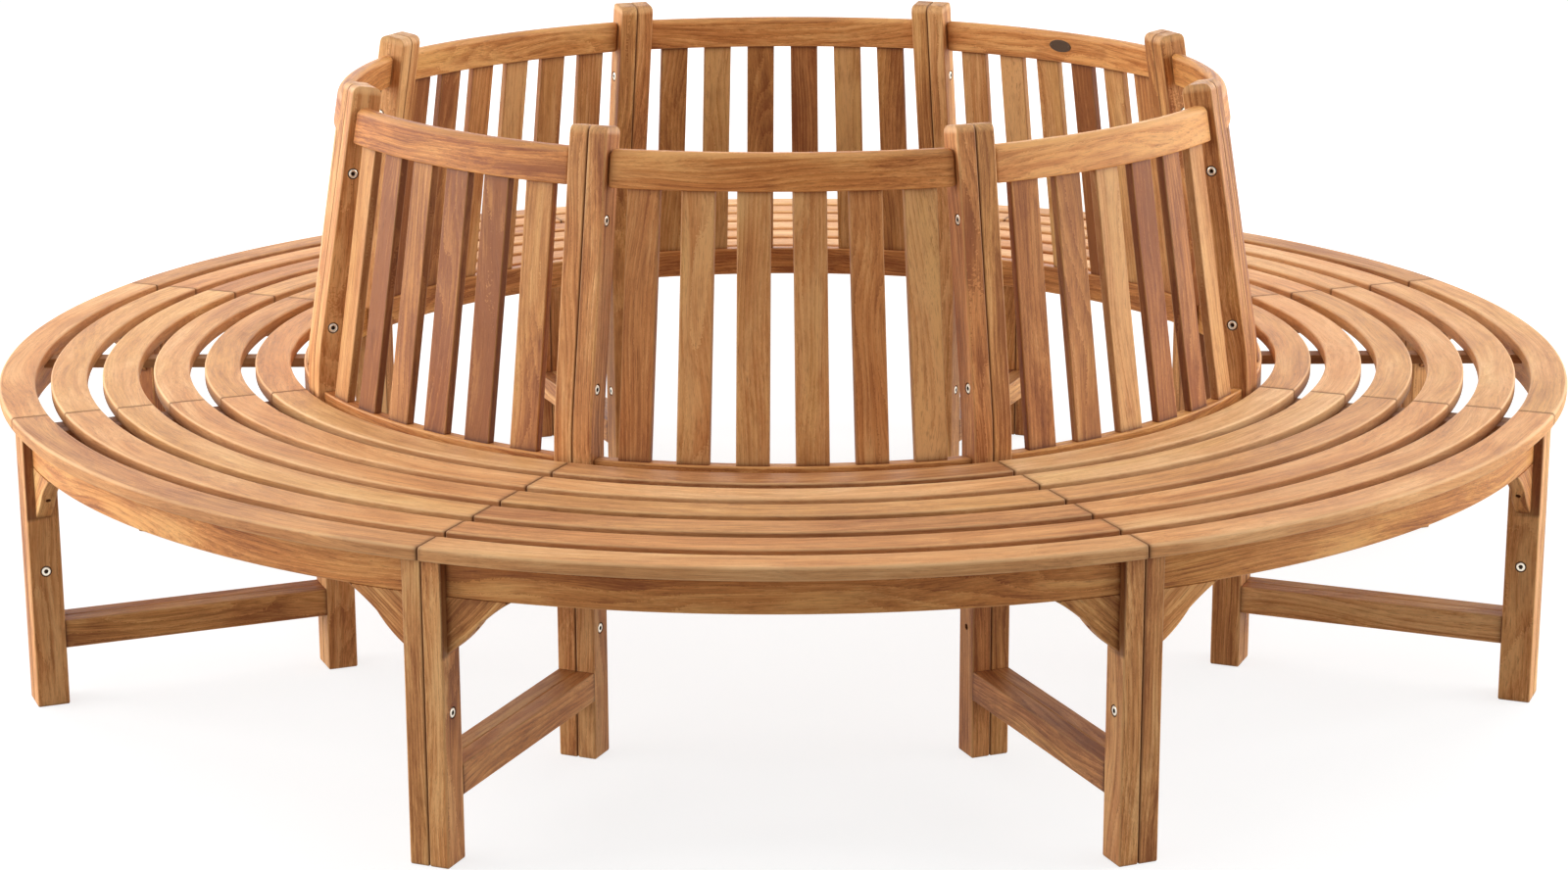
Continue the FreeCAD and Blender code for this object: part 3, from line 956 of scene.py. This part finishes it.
def backSlatBoard(number):
    # The slats stand on rays from the ring's centre and share out the opening between the posts.
    place = post["front"] - rail["setback"]
    opening = 2 * (halfAngle - math.degrees(math.asin(frameFar / place)))
    slatAngle = math.degrees((backSlat["width"] + 2 * backSlat["endTrim"]) / place)
    angle = (number - (backSlat["count"] + 1) / 2) * (opening + slatAngle) / (backSlat["count"] + 1)
    topRadius = railRadius - topPlace + leanPoint(topRailBottom, railMiddle)
    low = slatPoint(angle, railRadius - rail["thickness"] / 2, bottomCentre, bottomRailTop)
    high = slatPoint(angle, topRadius, topCentre, topRailBottom)
    length = np.linalg.norm(high - low)
    slope = (high - low) / length
    across = np.cross(slope, (low + high) / 2 + [(bottomCentre + topCentre) / 2, 0, 0])
    across /= np.linalg.norm(across)
    housing = backSlat["housing"]
    surface = boardSurface(-housing, length + housing, backSlat["width"], backSlat["thickness"],
                           backSlat["arris"], [length / 2], meets=(housing, housing))
    shaded = backSlat["edgeShade"] * np.abs(surface["normals"][:, 1])
    return makeBoard(surface, straight(surface, low, slope, across), shaded)


dressNode("bottom_rails", [atSection(bottomRail(), k) for k in sectionNumbers], railTeak)
dressNode("top_rails", [atSection(topRail(), k) for k in sectionNumbers], railTeak)
for k in sectionNumbers:
    slats = [atSection(backSlatBoard(n), k) for n in range(1, backSlat["count"] + 1)]
    dressNode("section_%d_back_slats" % k, slats, backTeak)
print("back made")

# Radial battens under the seat, from the bottom rail to the apron
batten = {
    "width": 0.030,
    "height": 0.015,
    "arris": 0.0016,
    "railGap": 0.0003,
    "apronGap": 0.0004,
    "shade": 0.7,
}


def seatBatten():
    low = railRadius - bottomCentre + batten["railGap"]
    high = apron["front"] - apron["thickness"] - batten["apronGap"]
    surface = boardSurface(low, high, batten["width"], batten["height"], batten["arris"], [(low + high) / 2])
    lift = ring["seatUnderside"] - batten["height"] / 2
    return makeBoard(surface, (surface["points"] + [0, 0, lift], surface["normals"]), batten["shade"])


dressNode("seat_battens", [atSection(seatBatten(), k) for k in sectionNumbers], seatTeak)
print("battens made")


# Connector bolts and plate
def roundAngles(count):
    return np.arange(count) * 2 * math.pi / count


def ellipse(angle, halfWidth, halfHeight, height, across=0.0):
    # across + w cos u, h sin u, all at one height.
    return columns(across + halfWidth * np.cos(angle), halfHeight * np.sin(angle), 0 * angle + height)


def stacked(rows, deep=0.0):
    # A solid of rings of points, joined row by row and capped: its points, faces and share of painted shade.
    count, last = len(rows[0]), len(rows) - 1
    here = np.arange(count)
    faces = [quadGrid(len(rows), count).reshape(-1, 4), here[::-1][None], (last * count + here)[None]]
    return np.concatenate(rows), faces, np.repeat(np.broadcast_to(deep, len(rows)), count)


def hardPiece(name, solids, material, sharpAngle=32):
    # Small metal solids in one mesh, smooth except where two faces meet at more than the sharp angle.
    mesh = bpy.data.meshes.new(name)
    points, paintedShade = (np.concatenate([solid[k] for solid in solids]) for k in (0, 2))
    starts = np.cumsum([0] + [len(solid[0]) for solid in solids])
    groups = [start + group for start, solid in zip(starts, solids) for group in solid[1]]
    mesh.from_pydata(points.tolist(), [], [face for group in groups for face in group.tolist()])
    mesh.attributes.new("paintedShade", "FLOAT", "POINT").data.foreach_set("value", paintedShade)
    mesh.polygons.foreach_set("use_smooth", np.ones(len(mesh.polygons), bool))
    mesh.set_sharp_from_angle(angle=math.radians(sharpAngle))
    addPiece(name, mesh, material)


bolt = {
    "headRadius": 0.0066,
    "headHeight": 0.0044,
    "dome": 0.0010,
    # How far in from the edge and below the top each ring of the dome lies, as shares of the dome.
    "domeRings": ((0, 1), (0.3, 0.4), (0.9, 0.1), (1.6, 0)),
    "socketRadius": 0.0029,
    "socketDepth": 0.0026,
    "lipShare": 1.12,
    "lipDepth": 0.0003,
    "around": 24,
}


def boltHead():
    # A turned head with a hexagonal socket: rings of a radius at a height, and in the socket the radius
    # is the flat's distance over the cosine of the angle from its middle.
    angle = roundAngles(bolt["around"])
    hexagon = 1 / np.cos((angle + math.pi / 6) % (math.pi / 3) - math.pi / 6)
    height, dome, edge, socket = (bolt[name] for name in ("headHeight", "dome", "headRadius", "socketRadius"))
    rings = [(edge - inside * dome, height - below * dome) for inside, below in bolt["domeRings"]]
    rings.insert(0, (edge, 0))
    outside = len(rings)
    rings += [(socket * bolt["lipShare"], height), (socket, height - bolt["lipDepth"]),
              (socket, height - bolt["socketDepth"])]
    rows = []
    for number, (radius, lift) in enumerate(rings):
        reach = radius * (hexagon if number >= outside else 1)
        rows.append(ellipse(angle, reach, reach, lift))
    # The socket's two lowest rings are painted dark as its shade.
    return stacked(rows, [0] * (len(rows) - 2) + [1, 1])


def headsAt(number, side):
    # The heads at one joint's side stand at the bottom of their counterbores, each turned by chance.
    behind = connector["postBehindFront"]
    spots = [(leanPoint(z, behind), z) for z in connector["postHeights"]]
    if (number, side) != connector["emptyAt"]:
        spots.append((post["front"] - post["depth"] / 2, connector["lowHeight"]))
    spots.append((leg["front"] - leg["depth"] / 2, connector["legHeight"]))
    base = connector["counterbore"][1] - frameFar
    points, faces, deep = boltHead()
    for x, z in spots:
        a, b, out = turned(points, chance.uniform(0, 60)).T
        placed = toSide([columns(x + a, base - out, z + b)], side)[0]
        yield turned(placed, sectionAngle(number)), [f if side > 0 else f[:, ::-1] for f in faces], deep


heads = [head for k in sectionNumbers for side in (-1, 1) for head in headsAt(k, side)]
hardPiece("connector_bolt_heads", heads, boltMetal)

plate = {
    "section": 4,
    "height": 0.829,
    "halfWidth": 0.023,
    "halfHeight": 0.0105,
    "thickness": 0.0012,
    "rim": 0.0016,
    # How far in each ring of the edge and the rim lies, and how high, as shares of the rim and thickness.
    "rimRings": ((0, 0), (0, 0.7), (0.25, 1), (0.8, 1), (1, 0.6)),
    "sunk": 0.6,
    "innerRing": 0.6,
    "around": 48,
    "lift": 0.0001,
    "pinRadius": 0.0016,
    "pinHeight": 0.0012,
    "pinSpacing": 0.0185,
    "pinBase": 0.5,
    "pinRise": (0, 0.35, 0.7, 1.05, 1.35),
    "pinAround": 16,
}


def ovalPlate():
    # Rings of an ellipse (w cos u, h sin u) drawn in step by step: edge, raised rim, then the sunk middle.
    angle = roundAngles(plate["around"])
    thick = plate["thickness"]
    rings = [(inside * plate["rim"], high * thick) for inside, high in plate["rimRings"]]
    rings.append((plate["halfHeight"] * plate["innerRing"], plate["sunk"] * thick))
    return stacked([ellipse(angle, plate["halfWidth"] - inside, plate["halfHeight"] - inside, high)
                    for inside, high in rings])


def pinHead(across):
    # A small dome: radius cos v round the pin, height sin v, from the plate up to the pole.
    angle = roundAngles(plate["pinAround"])
    base, rise = plate["thickness"] * plate["pinBase"], plate["pinHeight"]
    rings = [(plate["pinRadius"] * math.cos(v), base + rise * math.sin(v)) for v in plate["pinRise"]]
    return stacked([ellipse(angle, radius, radius, high, across) for radius, high in rings])


def onTopRail(points):
    # The plate bends with the rail's tree-side face: across becomes an angle, up follows the lean.
    slope = math.tan(postLean)
    inner = railRadius - topPlace + leanPoint(plate["height"], rail["setback"] + rail["thickness"])
    across, up, out = points.T
    rise = up * math.cos(postLean)
    radius = inner - rise * slope - out + plate["lift"]
    angle = -across / inner
    placed = columns(radius * np.cos(angle) - topCentre, radius * np.sin(angle),
                     plate["height"] + rise - out * slope)
    return turned(placed, sectionAngle(plate["section"]))


plateParts = [ovalPlate(), pinHead(-plate["pinSpacing"]), pinHead(plate["pinSpacing"])]
plateParts = [(onTopRail(points), faces, deep) for points, faces, deep in plateParts]
hardPiece("blank_oval_plate", plateParts, plateBronze)
print("bolts and plate made")

# Floor, world, light, camera
studio = {
    "floorSize": 24.0,
    "floorDrop": 0.0004,
    "floorDiffuse": (0.30, 0.30, 0.30, 1),
    "floorGlow": (0.78, 1.0),
    "glowReach": (1.3, 3.6),
    "floorBounce": (0.44, 0.42, 0.39, 1),
    "ambient": (0.06, 0.06, 0.06, 1),
    "aimHeight": 0.45,
    "overhead": {"place": (0, -0.6, 4.4), "size": 5.0, "power": 70.0},
    "side": {"place": (5.0, -0.5, 1.9), "size": 3.6, "power": 184.0, "leftPower": 228.0},
    "rearSide": {"place": (4.2, 3.6, 2.4), "size": 3.0, "power": 122.0, "leftPower": 122.0},
    "frontSide": {"place": (4.5, -4.5, 2.2), "size": 2.5, "power": 30.0, "leftPower": 56.0},
    "rear": {"place": (0, 6.5, 2.6), "size": 5.0, "power": 150.0},
}
cameraFit = {
    "lens": 78.105,
    "sensor": 36.0,
    "aside": 0.0012,
    "distance": 5.190,
    "height": 1.6568,
    "pitch": 14.8406,
    "roll": -0.1826,
    "turn": 0.0335,
}


def cameraRays(tree):
    # 1 for rays from the camera and those that gloss or glass sends on, so that they see the white ground.
    path = addNode(tree, "LightPath").outputs
    seen = mathNode(tree, "MAXIMUM", path["Is Camera Ray"], path["Is Glossy Ray"])
    return mathNode(tree, "MAXIMUM", seen, path["Is Transmission Ray"])


def makeFloor():
    half, low = studio["floorSize"] / 2, -studio["floorDrop"]
    mesh = bpy.data.meshes.new("studio_floor")
    corners = [(half * x, half * y, low) for x, y in ((-1, -1), (1, -1), (1, 1), (-1, 1))]
    mesh.from_pydata(corners, [], [(0, 1, 2, 3)])
    material, tree = newMaterial("studio_floor")
    tree.nodes.clear()
    paint = addNode(tree, "BsdfDiffuse", {"Color": studio["floorDiffuse"]}).outputs[0]
    place = addNode(tree, "TexCoord").outputs["Object"]
    reach = addNode(tree, "VectorMath", {0: place}, operation="LENGTH").outputs["Value"]
    glowing = (*studio["glowReach"], *studio["floorGlow"])
    strength = spread(tree, reach, *glowing, interpolation_type="SMOOTHSTEP")
    glow = addNode(tree, "Emission", {"Strength": strength}).outputs[0]
    shown = addNode(tree, "AddShader", {0: paint, 1: glow}).outputs[0]
    bounce = addNode(tree, "BsdfDiffuse", {"Color": studio["floorBounce"]}).outputs[0]
    mixed = addNode(tree, "MixShader", {0: cameraRays(tree), 1: bounce, 2: shown}).outputs[0]
    addNode(tree, "OutputMaterial", {"Surface": mixed})
    mesh.materials.append(material)
    floor = bpy.data.objects.new("studio_floor", mesh)
    bpy.context.scene.collection.objects.link(floor)


def makeWorld():
    world = bpy.data.worlds.new("studio")
    world.use_nodes = True
    bpy.context.scene.world = world
    tree = world.node_tree
    tree.nodes.clear()
    seen = mixColour(tree, "MIX", cameraRays(tree), studio["ambient"], (1, 1, 1, 1))
    back = addNode(tree, "Background", {"Color": seen}).outputs[0]
    addNode(tree, "OutputWorld", {"Surface": back})


def addSoftbox(name, side=1):
    box = studio[name]
    lamp = bpy.data.lights.new(name, "AREA")
    lamp.shape = "SQUARE"
    lamp.size = box["size"]
    lamp.energy = box["power" if side > 0 else "leftPower"]
    softbox = bpy.data.objects.new(name + "_softbox", lamp)
    softbox.location = (side * box["place"][0], box["place"][1], box["place"][2])
    aim = softbox.location - Vector((0, 0, studio["aimHeight"]))
    softbox.rotation_euler = aim.to_track_quat("Z", "Y").to_euler()
    softbox.visible_camera = False
    bpy.context.scene.collection.objects.link(softbox)


def makeCamera():
    # Looks along +Y from in front, pitched down with a small roll, then turned about the ring's axis.
    pitch, roll = math.radians(cameraFit["pitch"]), math.radians(cameraFit["roll"])
    forward = np.array([0, math.cos(pitch), -math.sin(pitch)])
    side = np.array([1.0, 0, 0])
    above = np.cross(side, forward)
    right = math.cos(roll) * side + math.sin(roll) * above
    up = -math.sin(roll) * side + math.cos(roll) * above
    place = np.array([cameraFit["aside"], -cameraFit["distance"], cameraFit["height"]])
    pose = Matrix([[right[i], up[i], -forward[i], place[i]] for i in range(3)] + [[0, 0, 0, 1]])
    data = bpy.data.cameras.new("camera")
    data.lens = cameraFit["lens"]
    data.sensor_width = cameraFit["sensor"]
    camera = bpy.data.objects.new("camera", data)
    camera.matrix_world = Matrix.Rotation(math.radians(cameraFit["turn"]), 4, "Z") @ pose
    bpy.context.scene.collection.objects.link(camera)
    bpy.context.scene.camera = camera


makeFloor()
makeWorld()
addSoftbox("overhead")
addSoftbox("rear")
for side in (-1, 1):
    for name in ("side", "rearSide", "frontSide"):
        addSoftbox(name, side)
makeCamera()
bpy.context.scene.view_settings.view_transform = "Standard"
print("studio made")
